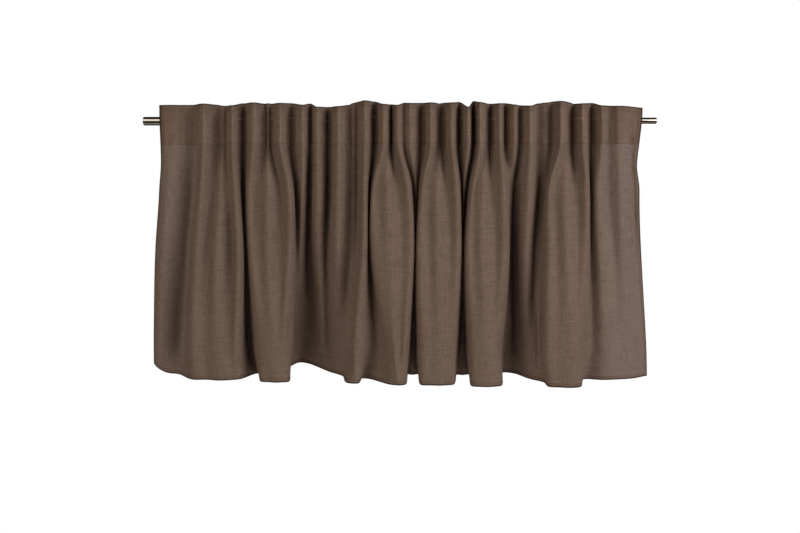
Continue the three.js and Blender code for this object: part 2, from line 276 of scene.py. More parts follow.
@dataclass
class HangingFolds:
    """The shape in which the cloth hangs: plan curves through the fold lines at every height.

    Crests swell with their fullness, one share for each level. The cloth's sides draw in at the waist, just
    under the heading. Small puckers run along the gathered heading, as two waves that fade out below it.
    """

    top_edge: float = 33
    head: float = -44
    upper: float = -150
    middle: float = -285
    low: float = -490
    hem: float = -561
    fullness: tuple[float, ...] = (0.0, 0.4, 0.65, 0.7, 0.35)
    side_edge: float = 525
    waist_height: float = -92
    waist_reach_up: float = 125
    waist_reach_down: float = 62
    waist_reach_across: float = 60
    waist_left: float = 3
    waist_right: float = 9
    lift_full_above: float = 22
    hem_rises: tuple[HemRise, ...] = (HemRise(-600, 90, 34), HemRise(-222, 75, 15))
    rise_behind: float = 15
    column_pitch: float = 5.2
    least_columns: int = 3
    pucker: float = 0.5
    pucker_pitch: float = 15
    side_pucker: float = 0.7
    side_pucker_pace: float = 0.63
    side_pucker_start: float = 1.3
    clearance_kept: float = 0.97
    clearance_checks: int = 4
    lines: list[FoldLine] = field(default_factory=fold_lines)
    creases: tuple[Crease, ...] = tuple(
        Crease((top_x, top_z), (bottom_x, bottom_z), reach, forward)
        for top_x, top_z, bottom_x, bottom_z, reach, forward in CREASE_TABLE
    )

    def levels(self) -> tuple[float, ...]:
        """The heights at which the fold table's values stand."""
        return (self.head, self.upper, self.middle, self.low, self.hem)

    def level_slope(self, values: np.ndarray, k: int) -> np.ndarray:
        """How fast the values change with height at a level.

        Args:
            values: One row per fold line, one column per level.
            k: The level's number.

        Returns:
            One slope per fold line.
        """
        if k == 0:
            return np.zeros(len(values))
        heights = self.levels()
        ahead = min(k + 1, len(heights) - 1)
        return (values[:, ahead] - values[:, k - 1]) / (heights[ahead] - heights[k - 1])

    def along_drop(self, values: np.ndarray, z: float) -> np.ndarray:
        """Carries the levels' values smoothly to one height.

        Args:
            values: One row per fold line, one column per level.
            z: The height.

        Returns:
            One value per fold line.
        """
        heights = self.levels()
        if z >= heights[0]:
            return values[:, 0]
        i = 0
        while i < len(heights) - 2 and z < heights[i + 1]:
            i += 1
        span = heights[i + 1] - heights[i]
        leaving = self.level_slope(values, i) * span
        reaching = self.level_slope(values, i + 1) * span
        return curve_between((z - heights[i]) / span, values[:, i], leaving, values[:, i + 1], reaching)

    def plan_points(self, z: float) -> np.ndarray:
        """Where the fold lines cross a height.

        Args:
            z: The height.

        Returns:
            One x and y pair for each fold line.
        """
        across = self.along_drop(np.array([line.across for line in self.lines], float), z)
        depth = self.along_drop(np.array([line.depth for line in self.lines], float), z)
        reach = self.waist_reach_up if z > self.waist_height else self.waist_reach_down
        down = abs(z - self.waist_height) / reach
        if down < 1:
            from_edge = np.clip((self.side_edge - np.abs(across)) / self.waist_reach_across, 0, 1)
            strength = smooth(1 - down) * smooth(1 - from_edge)
            across = across + np.where(across < 0, self.waist_left, -self.waist_right) * strength
        return np.stack([across, -depth], axis=1)

    def flank_steps(self) -> list[int]:
        """Shares out the mesh's columns.

        Returns:
            How many columns each flank between two fold lines takes.
        """
        steps = []
        for before, after in zip(self.lines, self.lines[1:]):
            reach = max(
                math.hypot(bx - ax, bd - ad)
                for ax, bx, ad, bd in zip(before.across, after.across, before.depth, after.depth)
            )
            steps.append(max(self.least_columns, round(reach / self.column_pitch)))
        return steps

    def plan_line(self, z: float) -> np.ndarray:
        """The cloth's middle line in plan at a height.

        Args:
            z: The height.

        Returns:
            One x and y pair for each column.
        """
        points = self.plan_points(z)
        chords = np.diff(points, axis=0)
        lengths = np.linalg.norm(chords, axis=1)
        units = chords / lengths[:, None]
        directions = np.vstack([units[:1], units]) + np.vstack([units, units[-1:]])
        directions /= np.linalg.norm(directions, axis=1)[:, None]
        full = float(self.along_drop(np.array([self.fullness]), z)[0])
        crests = [line.kind is FoldKind.CREST for line in self.lines]
        line = []
        for i, count in enumerate(self.flank_steps()):
            span = abs(chords[i, 0])
            round_pull = span + full * (lengths[i] - span)
            leaving = directions[i] * (round_pull if crests[i] else span)
            reaching = directions[i + 1] * (round_pull if crests[i + 1] else span)
            shares = (np.arange(count) / count)[:, None]
            line.append(curve_between(shares, points[i], leaving, points[i + 1], reaching))
        line.append(points[-1:])
        return np.vstack(line)

    def top_lifts(self) -> np.ndarray:
        """How far the heading stands off its nominal height.

        Returns:
            One distance for each column.
        """
        tops = [line.top for line in self.lines]
        lifts = []
        for before, after, count in zip(tops, tops[1:], self.flank_steps()):
            share = smooth(np.arange(count) / count)
            lifts.append(before * (1 - share) + after * share)
        lifts.append(tops[-1:])
        return np.concatenate(lifts)

    def puckers(self, line: np.ndarray, z: float) -> np.ndarray:
        """How far the gathered heading's small puckers stand back.

        Args:
            line: The cloth's line in plan.
            z: Its height.

        Returns:
            One distance for each column.
        """
        if z < self.upper:
            return np.zeros(len(line))
        place = running_total(np.linalg.norm(np.diff(line, axis=0), axis=1)) / self.pucker_pitch
        turns = 2 * math.pi * place
        aside = self.side_pucker * np.sin(turns * self.side_pucker_pace + self.side_pucker_start)
        fade = smooth(float(np.clip((z - self.upper) / (self.head - self.upper), 0, 1)))
        return self.pucker * (np.sin(turns) + aside) * fade

    def line_behind(self, line: np.ndarray, backward: np.ndarray, offset: float) -> np.ndarray:
        """A line behind the cloth's, without the small loops inside its tight folds.

        Args:
            line: The cloth's line in plan.
            backward: The direction behind the cloth, for each column.
            offset: How far behind the line lies.

        Returns:
            One x and y pair for each column.
        """
        behind = line + offset * backward
        shares = np.linspace(0, 1, self.clearance_checks, endpoint=False)
        between = [line[:-1] + share * np.diff(line, axis=0) for share in shares]
        apart = np.linalg.norm(behind[:, None] - np.vstack([*between, line[-1:]])[None], axis=2)
        clear = np.flatnonzero(apart.min(axis=1) > self.clearance_kept * offset)
        columns = np.arange(len(line))
        return np.stack([np.interp(columns, clear, behind[clear, k]) for k in (0, 1)], axis=1)

    def lifted(self, line: np.ndarray, z: float, lifts: np.ndarray) -> np.ndarray:
        """The true heights of a row, with the uneven top edge and the hem's rises.

        Args:
            line: The row's line in plan.
            z: Its nominal height.
            lifts: How far each column's heading stands off its nominal height.

        Returns:
            One height for each column.
        """
        head_share = np.clip((z - self.head) / (self.lift_full_above - self.head), 0, 1)
        hem_share = np.clip((self.middle - z) / (self.middle - self.hem), 0, 1)
        hem_share = hem_share * np.clip(line[:, 1] / self.rise_behind, 0, 1)
        height = z + lifts * head_share
        for rise in self.hem_rises:
            height = height + rise.height_at(line[:, 0]) * hem_share
        return height

    def surface(self, heights: np.ndarray, offset: float = 0.0) -> np.ndarray:
        """Points of the cloth's surface.

        Args:
            heights: The rows' nominal heights, top first.
            offset: How far behind the cloth's middle the surface lies.

        Returns:
            An array of rows by columns by x, y and z, in millimetres.
        """
        lifts = self.top_lifts()
        rows = []
        for z in heights:
            line = self.plan_line(z)
            height = self.lifted(line, z, lifts)
            forward = sum(crease.depth_at(line[:, 0], height) for crease in self.creases)
            line = line - np.stack([np.zeros(len(line)), forward], axis=1)
            along = np.gradient(line, axis=0)
            along /= np.linalg.norm(along, axis=1)[:, None]
            backward = np.stack([-along[:, 1], along[:, 0]], axis=1)
            line = line + self.puckers(line, z)[:, None] * backward
            if offset:
                line = self.line_behind(line, backward, offset)
            rows.append(np.column_stack([line, height]))
        return np.array(rows)


def mesh_object(name: str, vertices: np.ndarray, faces: list[tuple[int, ...]]) -> bpy.types.Object:
    """Makes a smooth-shaded mesh object.

    Args:
        name: The object's name.
        vertices: Points in millimetres.
        faces: Vertex numbers of each face.

    Returns:
        The new object, linked to the scene.
    """
    mesh = bpy.data.meshes.new(name)
    mesh.from_pydata((vertices * MM).tolist(), [], faces)
    mesh.update()
    for polygon in mesh.polygons:
        polygon.use_smooth = True
    made = bpy.data.objects.new(name, mesh)
    bpy.context.scene.collection.objects.link(made)
    return made


def sheet_object(
    name: str, grid: np.ndarray, flat_across: np.ndarray, flat_down: np.ndarray
) -> bpy.types.Object:
    """Makes a sheet from a grid of points, with its flat cloth's sizes as its UVs, in metres.

    Args:
        name: The object's name.
        grid: Rows by columns by x, y and z, in millimetres.
        flat_across: Each column's place across the flat cloth.
        flat_down: Each row's place down the flat cloth.

    Returns:
        The new object.
    """
    rows, columns = grid.shape[:2]
    faces = []
    for r in range(rows - 1):
        for c in range(columns - 1):
            a = r * columns + c
            faces.append((a, a + columns, a + columns + 1, a + 1))
    made = mesh_object(name, grid.reshape(-1, 3), faces)
    layer = made.data.uv_layers.new(name=FLAT_CLOTH)
    u = np.tile(flat_across, rows) * MM
    v = np.repeat(flat_down, columns) * MM
    corners = np.empty(len(made.data.loops), int)
    made.data.loops.foreach_get("vertex_index", corners)
    layer.data.foreach_set("uv", np.stack([u[corners], v[corners]], axis=1).ravel())
    return made


def thicken(sheet: bpy.types.Object, thickness: float) -> None:
    """Gives a sheet its thickness, half to each side.

    Args:
        sheet: The sheet.
        thickness: Its thickness, in millimetres.
    """
    solid = sheet.modifiers.new("thickness", "SOLIDIFY")
    solid.thickness = thickness * MM
    solid.offset = 0
    solid.use_even_offset = False


class Nodes:
    """A short way to build a material's nodes.

    A colour mix takes its two colours at inputs 6 and 7 and gives the mixed one at output 2.
    """

    noise_roughness: float = 0.6
    dash_above: float = -0.6

    def __init__(self, name: str) -> None:
        """Starts an empty material.

        Args:
            name: The material's name.
        """
        self.material = bpy.data.materials.new(name)
        self.material.use_nodes = True
        self.tree = self.material.node_tree
        self.tree.nodes.clear()
        self.output = self.tree.nodes.new("ShaderNodeOutputMaterial")

    def add(self, kind: str, inputs: dict | None = None, **settings: object) -> bpy.types.Node:
        """Adds a node.

        Args:
            kind: The node's type.
            inputs: Values or sockets for its inputs, by name or number.
            settings: Values for the node's own properties.

        Returns:
            The node.
        """
        node = self.tree.nodes.new(kind)
        for key, value in settings.items():
            setattr(node, key, value)
        for key, value in (inputs or {}).items():
            if isinstance(value, Socket):
                self.tree.links.new(value, node.inputs[key])
            else:
                node.inputs[key].default_value = value
        return node

    def maths(
        self, operation: str, a: Socket | float, b: Socket | float = 0.0, clamp: bool = False
    ) -> Socket:
        """Adds a maths node and gives its result."""
        return self.add("ShaderNodeMath", {0: a, 1: b}, operation=operation, use_clamp=clamp).outputs[0]

    def plus(self, a: Socket | float, b: Socket | float) -> Socket:
        """Adds two values."""
        return self.maths("ADD", a, b)

    def minus(self, a: Socket | float, b: Socket | float) -> Socket:
        """Takes the second value from the first."""
        return self.maths("SUBTRACT", a, b)

    def times(self, a: Socket | float, b: Socket | float) -> Socket:
        """Multiplies two values."""
        return self.maths("MULTIPLY", a, b)

    def wave(self, place: Socket, pitch: float) -> Socket:
        """Gives a sine wave along a place in metres, of a pitch in millimetres."""
        return self.maths("SINE", self.times(place, 2 * math.pi / (pitch * MM)))

    def dashes(self, place: Socket, pitch: float) -> Socket:
        """Gives a row of stitches' dashes along a place in metres, of a pitch in millimetres."""
        return self.maths("GREATER_THAN", self.wave(place, pitch), self.dash_above)

    def past(self, value: Socket, start: float, end: float) -> Socket:
        """Gives a share that rises softly from 0 at a start to 1 at an end."""
        inputs = {"Value": value, "From Min": start, "From Max": end}
        return self.add("ShaderNodeMapRange", inputs, interpolation_type="SMOOTHSTEP").outputs[0]

    def near(self, value: Socket, centre: float, reach: float) -> Socket:
        """Gives a share that falls from 1 at a centre to 0 at a reach from it."""
        away = self.maths("ABSOLUTE", self.minus(value, centre))
        return self.maths("SUBTRACT", 1.0, self.maths("DIVIDE", away, reach), clamp=True)

    def most(self, *values: Socket) -> Socket:
        """Gives the largest of some values.

        Args:
            values: The values.

        Returns:
            The largest one.
        """
        largest = values[0]
        for value in values[1:]:
            largest = self.maths("MAXIMUM", largest, value)
        return largest

    def mix(self, share: Socket | float, before: Socket | tuple, after: Socket | tuple) -> Socket:
        """Mixes two colours."""
        return self.add("ShaderNodeMix", {0: share, 6: before, 7: after}, data_type="RGBA").outputs[2]

    def ramp(self, value: Socket, *stops: tuple[float, Color]) -> Socket:
        """Colours a value.

        Args:
            value: The value, from 0 to 1.
            stops: Values and their colours, two or more, from low to high.

        Returns:
            The colour.
        """
        node = self.add("ShaderNodeValToRGB", {0: value})
        elements = node.color_ramp.elements
        for element, (position, color) in zip(elements, (stops[0], stops[-1])):
            element.position = position
            element.color = (*color, 1)
        for position, color in stops[1:-1]:
            elements.new(position).color = (*color, 1)
        return node.outputs[0]

    def noise(self, vector: Socket, stretch: Place, detail: float = 2.0) -> Socket:
        """Adds noise whose grain is stretched along the axes.

        Args:
            vector: The place.
            stretch: How fast the noise changes along each axis, per metre.
            detail: How many finer layers it has.

        Returns:
            The noise's value.
        """
        mapped = self.add("ShaderNodeMapping", {"Vector": vector, "Scale": stretch}).outputs[0]
        inputs = {"Vector": mapped, "Scale": 1.0, "Detail": detail, "Roughness": self.noise_roughness}
        return self.add("ShaderNodeTexNoise", inputs).outputs["Fac"]

    def bump(self, height: Socket, strength: float, distance: float) -> Socket:
        """Gives a surface direction with relief.

        Args:
            height: The relief's height.
            strength: How strongly it shows.
            distance: How far a height of 1 stands up, in metres.

        Returns:
            The surface's direction.
        """
        inputs = {"Strength": strength, "Distance": distance, "Height": height}
        return self.add("ShaderNodeBump", inputs).outputs[0]

    def flat_place(self) -> tuple[Socket, Socket, Socket]:
        """Gives the place on the flat cloth.

        Returns:
            The place, and how far across and how far down the cloth it lies, in metres.
        """
        uv = self.add("ShaderNodeUVMap", uv_map=FLAT_CLOTH).outputs[0]
        split = self.add("ShaderNodeSeparateXYZ", {0: uv})
        return uv, split.outputs[0], split.outputs[1]

    def finished(self, shader: bpy.types.Node) -> bpy.types.Material:
        """Sends a shader to the output and gives the material."""
        self.tree.links.new(shader.outputs[0], self.output.inputs[0])
        return self.material


@dataclass(frozen=True)
class ClothMasks:
    """Where the cloth's layers, seams and edges lie, each as a share from 0 to 1."""

    heading: Socket
    turned: Socket
    # Margin above the top seam, where painted shade goes.
    margin: Socket
    # Side panels: where the painted light from behind and the extra painted shade on the heading go.
    side: Socket
    edge: Socket
    top_edge: Socket
    seam: Socket
    stitches: Socket
    tacks: Socket


@dataclass(frozen=True)
class Slubs:
    """Thick and thin places in the threads: how often they change per metre, and how much they show."""

    across: float
    down: float
    detail: float
    share: float


@dataclass(frozen=True)
class LinenCloth:
    """Matt plain-weave cloth of uneven threads, its weave and seams sized on the flat cloth.

    A share says how strongly a colour covers the threads, and a relief how far a part stands up or sinks
    against them. The through values set how much light from behind shows in a single layer.
    """

    # The heading, the turned hems, the top margin and the edges carry painted shade, and the side panels
    # painted light from behind.
    width: float
    drop: float
    sewing: Sewing = Sewing()
    name: str = "brown_linen_cloth"
    deep: Color = (0.110, 0.066, 0.044)
    mean: Color = (0.222, 0.151, 0.108)
    pale: Color = (0.300, 0.216, 0.164)
    deep_below: float = 0.15
    mean_at: float = 0.5
    pale_above: float = 0.9
    # Dark colour of the seams' own lines, also used for the painted shade over the heading, the turned hems
    # and the top margin.
    seam_and_shade_color: Color = (0.080, 0.046, 0.030)
    # Near-black colour of the painted shade along the top edge and the cut edges.
    edge_shade_color: Color = (0.036, 0.023, 0.015)
    thread_color: Color = (0.33, 0.25, 0.20)
    # Pale colour of the painted light from behind on the single-layer side panels.
    painted_back_light_color: Color = (0.75, 0.70, 0.70)
    thread_pitch: float = 1.0
    slubs: tuple[Slubs, ...] = (
        Slubs(55, 480, 3, 0.52),
        Slubs(420, 30, 3, 0.62),
        Slubs(16, 170, 2, 0.28),
        Slubs(22, 9, 3, 0.22),
    )
    weave_share: float = 0.05
    tone_base: float = -0.32
    seam_reach: float = 1.6
    tack_reach: float = 1.6
    margin_reach: tuple[float, float] = (0.5, 1.6)
    edge_reach: tuple[float, float] = (0.5, 1.0)
    heading_blur: tuple[float, float] = (-2.0, 1.0)
    hem_blur: float = 0.4
    # Painted light: how far the side panels below the heading are lightened, as if lit from behind.
    painted_back_light_share: float = 0.042
    # Painted shade over the heading: strongest at the top edge, fading downwards, and stronger at the side
    # panels.
    heading_shade_share: float = 0.24
    heading_shade_fade: float = 1.2
    side_heading_shade_share: float = 0.11
    # Painted shade on the margin above the top seam.
    margin_shade_share: float = 0.15
    # Painted shade on the turned hems, where the doubled cloth lets less light through.
    turned_shade_share: float = 0.36
    seam_share: float = 0.62
    # Painted shade along the top edge and the cut edges.
    top_edge_shade_share: float = 0.78
    edge_shade_share: float = 0.92
    stitch_share: float = 0.12
    through_light: float = 0.18
    through_layers: float = 1.15
    through_tone: float = 1.4
    through_base: float = 0.3
    open_weave: float = 0.22
    weave_relief: float = 0.3
    seam_relief: float = 1.6
    stitch_relief: float = 1.1
    turned_relief: float = 0.8
    bump_strength: float = 0.3
    bump_distance: float = 0.0005
    roughness: float = 0.93
    specular: float = 0.08
    sheen: float = 0.02
    sheen_roughness: float = 0.5

    def seams(self, nodes: Nodes, u: Socket, v: Socket) -> ClothMasks:
        """Adds the masks of the cloth's layers, seams, hems and edges.

        Args:
            nodes: The material's nodes.
            u: Place across the flat cloth, in metres.
            v: Place down the flat cloth, in metres.

        Returns:
            The masks.
        """
        sewing = self.sewing
        line = self.seam_reach * sewing.thread * MM
        inward = nodes.maths("MINIMUM", u, nodes.minus(self.width * MM, u))
        upward = nodes.minus(self.drop * MM, v)
        across = nodes.most(
            nodes.near(v, sewing.top_seam * MM, line),
            nodes.near(v, sewing.lower_seam * MM, line),
            nodes.near(upward, sewing.hem * MM, line),
        )
        down = nodes.near(inward, sewing.side_hem * MM, line)
        tacked = nodes.add("ShaderNodeAttribute", attribute_name=TACKED).outputs["Fac"]
        edge = [share * sewing.turned_edge * MM for share in self.edge_reach]
        margin = [share * sewing.top_seam * MM for share in self.margin_reach]
        side = [reach * MM for reach in sewing.side_panel]
        heading = [blur * MM for blur in self.heading_blur]
        hem = (-self.hem_blur * MM, self.hem_blur * MM)
        return ClothMasks(
            heading=nodes.past(nodes.minus(sewing.lower_seam * MM, v), *heading),
            turned=nodes.most(
                nodes.past(nodes.minus(sewing.hem * MM, upward), *hem),
                nodes.past(nodes.minus(sewing.side_hem * MM, inward), *hem),
            ),
            margin=nodes.minus(1.0, nodes.past(v, *margin)),
            side=nodes.minus(1.0, nodes.past(inward, *side)),
            edge=nodes.minus(1.0, nodes.past(nodes.maths("MINIMUM", inward, upward), *edge)),
            top_edge=nodes.minus(1.0, nodes.past(v, *edge)),
            seam=nodes.most(across, down),
            stitches=nodes.most(
                nodes.times(across, nodes.dashes(u, sewing.stitch)),
                nodes.times(down, nodes.dashes(v, sewing.stitch)),
            ),
            tacks=nodes.times(nodes.near(v, sewing.tack_seam * MM, self.tack_reach * line), tacked),
        )

    def threads(self, nodes: Nodes, uv: Socket, u: Socket, v: Socket) -> tuple[Socket, Socket]:
        """Adds the weave and the uneven threads.

        Args:
            nodes: The material's nodes.
            uv: Place on the flat cloth.
            u: Place across the flat cloth, in metres.
            v: Place down the flat cloth, in metres.

        Returns:
            The weave's waves, and the tone of the thick and thin threads.
        """
        weave = nodes.times(nodes.wave(u, self.thread_pitch), nodes.wave(v, self.thread_pitch))
        tone: Socket | float = self.tone_base
        for slubs in self.slubs:
            value = nodes.noise(uv, (slubs.across, slubs.down, 1.0), slubs.detail)
            tone = nodes.plus(tone, nodes.times(value, slubs.share))
        return weave, nodes.plus(tone, nodes.times(weave, self.weave_share))

    def colour(self, nodes: Nodes, tone: Socket, v: Socket, masks: ClothMasks) -> Socket:
        """Colours the threads and seams, and paints shade and light over them.

        Args:
            nodes: The material's nodes.
            tone: The threads' tone.
            v: Place down the flat cloth, in metres.
            masks: The masks of the layers and seams.

        Returns:
            The colour.
        """
        made = nodes.ramp(
            tone, (self.deep_below, self.deep), (self.mean_at, self.mean), (self.pale_above, self.pale)
        )
        # Painted light from behind on the side panels below the heading.
        single = nodes.times(masks.side, nodes.minus(1.0, masks.heading))
        made = nodes.mix(nodes.times(single, self.painted_back_light_share), made, (*self.painted_back_light_color, 1))
        # Painted shade over the heading, darkest at its top and more so at the side panels.
        heading_shade = nodes.minus(self.heading_shade_share, nodes.times(v, self.heading_shade_fade))
        heading_shade = nodes.plus(heading_shade, nodes.times(masks.side, self.side_heading_shade_share))
        made = nodes.mix(nodes.times(masks.heading, heading_shade), made, (*self.seam_and_shade_color, 1))
        # Painted shade on the top margin, the turned hems, the top edge and the cut edges, and the seams'
        # own dark lines.
        for mask, share, over in (
            (masks.margin, self.margin_shade_share, self.seam_and_shade_color),
            (masks.turned, self.turned_shade_share, self.seam_and_shade_color),
            (masks.seam, self.seam_share, self.seam_and_shade_color),
            (masks.top_edge, self.top_edge_shade_share, self.edge_shade_color),
            (masks.edge, self.edge_shade_share, self.edge_shade_color),
        ):
            made = nodes.mix(nodes.times(mask, share), made, (*over, 1))
        light = nodes.most(nodes.times(masks.stitches, self.stitch_share), masks.tacks)
        return nodes.mix(light, made, (*self.thread_color, 1))

    def relief(self, nodes: Nodes, weave: Socket, tone: Socket, masks: ClothMasks) -> Socket:
        """Raises the threads and the turned layers, and sinks the seams.

        Args:
            nodes: The material's nodes.
            weave: The weave's waves.
            tone: The threads' tone.
            masks: The masks of the layers and seams.

        Returns:
            The surface's direction.
        """
        height = nodes.plus(nodes.times(weave, self.weave_relief), tone)
        height = nodes.minus(height, nodes.times(masks.seam, self.seam_relief))
        height = nodes.plus(height, nodes.times(masks.stitches, self.stitch_relief))
        height = nodes.plus(height, nodes.times(masks.turned, self.turned_relief))
        return nodes.bump(height, self.bump_strength, self.bump_distance)

    def build(self) -> bpy.types.Material:
        """Builds the material.

        Returns:
            The finished material.
        """
        nodes = Nodes(self.name)
        uv, u, v = nodes.flat_place()
        weave, tone = self.threads(nodes, uv, u, v)
        masks = self.seams(nodes, u, v)
        color = self.colour(nodes, tone, v, masks)
        layers = nodes.most(masks.heading, masks.turned, masks.edge)
        thin = nodes.times(nodes.minus(self.through_layers, layers), self.through_light)
        open_tone = nodes.plus(nodes.times(tone, self.through_tone), self.through_base)
        bump = self.relief(nodes, weave, tone, masks)
        face = nodes.add(
            "ShaderNodeBsdfPrincipled",
            {
                "Base Color": color,
                "Roughness": self.roughness,
                "Specular IOR Level": self.specular,
                "Sheen Weight": self.sheen,
                "Sheen Roughness": self.sheen_roughness,
                "Normal": bump,
            },
        )
        shine = nodes.mix(self.open_weave, color, (1, 1, 1, 1))
        through = nodes.add("ShaderNodeBsdfTranslucent", {"Color": shine, "Normal": bump})
        sides = {0: nodes.times(thin, open_tone), 1: face.outputs[0], 2: through.outputs[0]}
        return nodes.finished(nodes.add("ShaderNodeMixShader", sides))


@dataclass(frozen=True)
class WovenTape:
    """Beige-brown herringbone tape with rows of stitches across it, sized on the flat tape."""

    name: str
    stitch_rows: tuple[float, ...]
    color: Color = (0.26, 0.20, 0.155)
    shades: tuple[float, float] = (0.6, 1.25)
    thread_color: Color = (0.40, 0.32, 0.26)
    grain: Place = (500, 900, 1)
    rib: float = 1.1
    rib_share: float = 0.18
    herringbone: float = 4.0
    stitch: float = 3.0
    thread: float = 0.6
    seam_reach: float = 1.6
    bump_strength: float = 0.4
    bump_distance: float = 0.0004
    roughness: float = 0.9
    specular: float = 0.2

    def build(self) -> bpy.types.Material:
        """Builds the material.

        Returns:
            The finished material.
        """
        nodes = Nodes(self.name)
        uv, u, v = nodes.flat_place()
        slant = nodes.plus(u, nodes.maths("PINGPONG", v, self.herringbone * MM))
        ribs = nodes.times(nodes.wave(slant, self.rib), self.rib_share)
        tone = nodes.plus(nodes.noise(uv, self.grain), ribs)
        dark, light = (tuple(shade * c for c in self.color) for shade in self.shades)
        line = self.seam_reach * self.thread * MM
        rows = nodes.most(*(nodes.near(v, row * MM, line) for row in self.stitch_rows))
        stitches = nodes.times(rows, nodes.dashes(u, self.stitch))
        color = nodes.mix(stitches, nodes.ramp(tone, (0, dark), (1, light)), (*self.thread_color, 1))
        height = nodes.plus(tone, nodes.minus(stitches, rows))
        face = nodes.add(
            "ShaderNodeBsdfPrincipled",
            {
                "Base Color": color,
                "Roughness": self.roughness,
                "Specular IOR Level": self.specular,
                "Normal": nodes.bump(height, self.bump_strength, self.bump_distance),
            },
        )
        return nodes.finished(face)


@dataclass(frozen=True)
class SatinSteel:
    """Drawn steel tube with a warm satin finish and fine lengthways marks."""

    name: str = "satin_steel_tube"
    color: Color = (0.28, 0.25, 0.21)
    shades: tuple[float, float] = (0.7, 1.15)
    drawn_marks: Place = (20, 1500, 1500)
    clouds: Place = (30, 90, 90)
    cloud_detail: float = 3.0
    cloud_share: float = 0.5
    smoothest: float = 0.10
    roughest: float = 0.22
    bump_strength: float = 0.08
    bump_distance: float = 0.0002

    def build(self) -> bpy.types.Material:
        """Builds the material.

        Returns:
            The finished material.
        """
        nodes = Nodes(self.name)
        place = nodes.add("ShaderNodeTexCoord").outputs["Object"]
        drawn = nodes.noise(place, self.drawn_marks)
        cloudy = nodes.noise(place, self.clouds, self.cloud_detail)
        clouds = nodes.times(cloudy, self.cloud_share)
        tone = nodes.plus(nodes.times(drawn, 1 - self.cloud_share), clouds)
        dark, light = (tuple(shade * c for c in self.color) for shade in self.shades)
        spread = {"Value": tone, "To Min": self.smoothest, "To Max": self.roughest}
        face = nodes.add(
            "ShaderNodeBsdfPrincipled",
            {
                "Base Color": nodes.ramp(tone, (0, dark), (1, light)),
                "Metallic": 1.0,
                "Roughness": nodes.add("ShaderNodeMapRange", spread).outputs[0],
                "Normal": nodes.bump(drawn, self.bump_strength, self.bump_distance),
            },
        )
        return nodes.finished(face)


@dataclass
class ValanceCloth:
    """The gathered cloth with its stitched heading and narrow hems."""

    folds: HangingFolds
    thickness: float = 1.1
    heading_ends: float = -60
    hem_starts: float = -548
    heading_rows: int = 18
    drop_rows: int = 54
    hem_rows: int = 5
    tack_reach: float = 7

    def row_heights(self) -> np.ndarray:
        """Places the mesh's rows, closer together in the heading and at the hem.

        Returns:
            The rows' nominal heights, top first.
        """
        heading = np.linspace(self.folds.top_edge, self.heading_ends, self.heading_rows, endpoint=False)
        drop = np.linspace(self.heading_ends, self.hem_starts, self.drop_rows, endpoint=False)
        hem = np.linspace(self.hem_starts, self.folds.hem, self.hem_rows)
        return np.concatenate([heading, drop, hem])

    def tacked_columns(self, grid: np.ndarray) -> np.ndarray:
        """Finds the columns that a strap's tack crosses.

        Args:
            grid: The cloth's points.

        Returns:
            1 for each column with a tack, and 0 for the others.
        """
        share = np.zeros(grid.shape[1])
        for line in self.folds.lines:
            if line.kind is FoldKind.HELD:
                share[np.abs(grid[0, :, 0] - line.across[0]) < self.tack_reach] = 1
        return share

    def build(self) -> bpy.types.Object:
        """Makes and dresses the cloth.

        Returns:
            The cloth's object.
        """
        heights = self.row_heights()
        grid = self.folds.surface(heights)
        arcs = np.linalg.norm(np.diff(grid, axis=1), axis=2).sum(axis=1)
        LOG.info("width along the folds: %d to %d mm", arcs.min(), arcs.max())
        flat_across = flat_places(grid)
        width, drop = float(flat_across[-1]), self.folds.top_edge - self.folds.hem
        made = sheet_object("valance_cloth_fine", grid, flat_across, self.folds.top_edge - heights)
        tacked = made.data.attributes.new(TACKED, "FLOAT", "POINT")
        tacked.data.foreach_set("value", np.tile(self.tacked_columns(grid), len(heights)))
        made.data.materials.append(LinenCloth(width, drop).build())
        thicken(made, self.thickness)
        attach(made, "root")
        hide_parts("valance_cloth")
        return made


@dataclass
class RodTube:
    """One tube of the telescopic rod, closed at its outer end."""

    name: str
    node: str
    slot: str
    radius: float
    closed_end: float
    open_end: float
    wall: float = 1.0
    end_wall: float = 2.0
    corner: float = 0.9
    corner_steps: int = 6
    segments: int = 96

    def profile(self) -> list[tuple[float, float]]:
        """Draws half the tube's section, from the closed end's outer face to its inner one.

        Returns:
            Radius and distance from the closed end, for each point.
        """
        bends = [math.radians(90 * i / self.corner_steps) for i in range(self.corner_steps + 1)]
        points = [
            (self.radius - self.corner + self.corner * math.sin(a), self.corner - self.corner * math.cos(a))
            for a in bends
        ]
        bore, length = self.radius - self.wall, abs(self.open_end - self.closed_end)
        return points + [(self.radius, length), (bore, length), (bore, self.end_wall)]

    def build(self, finish: bpy.types.Material) -> bpy.types.Object:
        """Makes and dresses the tube.

        Args:
            finish: The tube's material.

        Returns:
            The tube's object.
        """
        toward = 1 if self.open_end > self.closed_end else -1
        profile = self.profile()
        vertices, faces = [], []
        ring = self.segments
        for r, along in profile:
            for k in range(ring):
                a = 2 * math.pi * k / ring
                vertices.append((self.closed_end + toward * along, r * math.cos(a), r * math.sin(a)))
        outside, inside = len(vertices), len(vertices) + 1
        vertices += [(self.closed_end + toward * along, 0.0, 0.0) for along in (0.0, self.end_wall)]
        for k in range(ring):
            rows = [(p * ring + k, p * ring + (k + 1) % ring) for p in range(len(profile))]
            faces.append((outside, rows[0][1], rows[0][0]))
            faces += [(a, b, d, c) for (a, b), (c, d) in zip(rows, rows[1:])]
            faces.append((*rows[-1], inside))
        if toward < 0:
            faces = [face[::-1] for face in faces]
        made = mesh_object(self.name, np.array(vertices), faces)
        made.data.materials.append(finish)
        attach(made, "root")
        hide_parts(self.node)
        return made


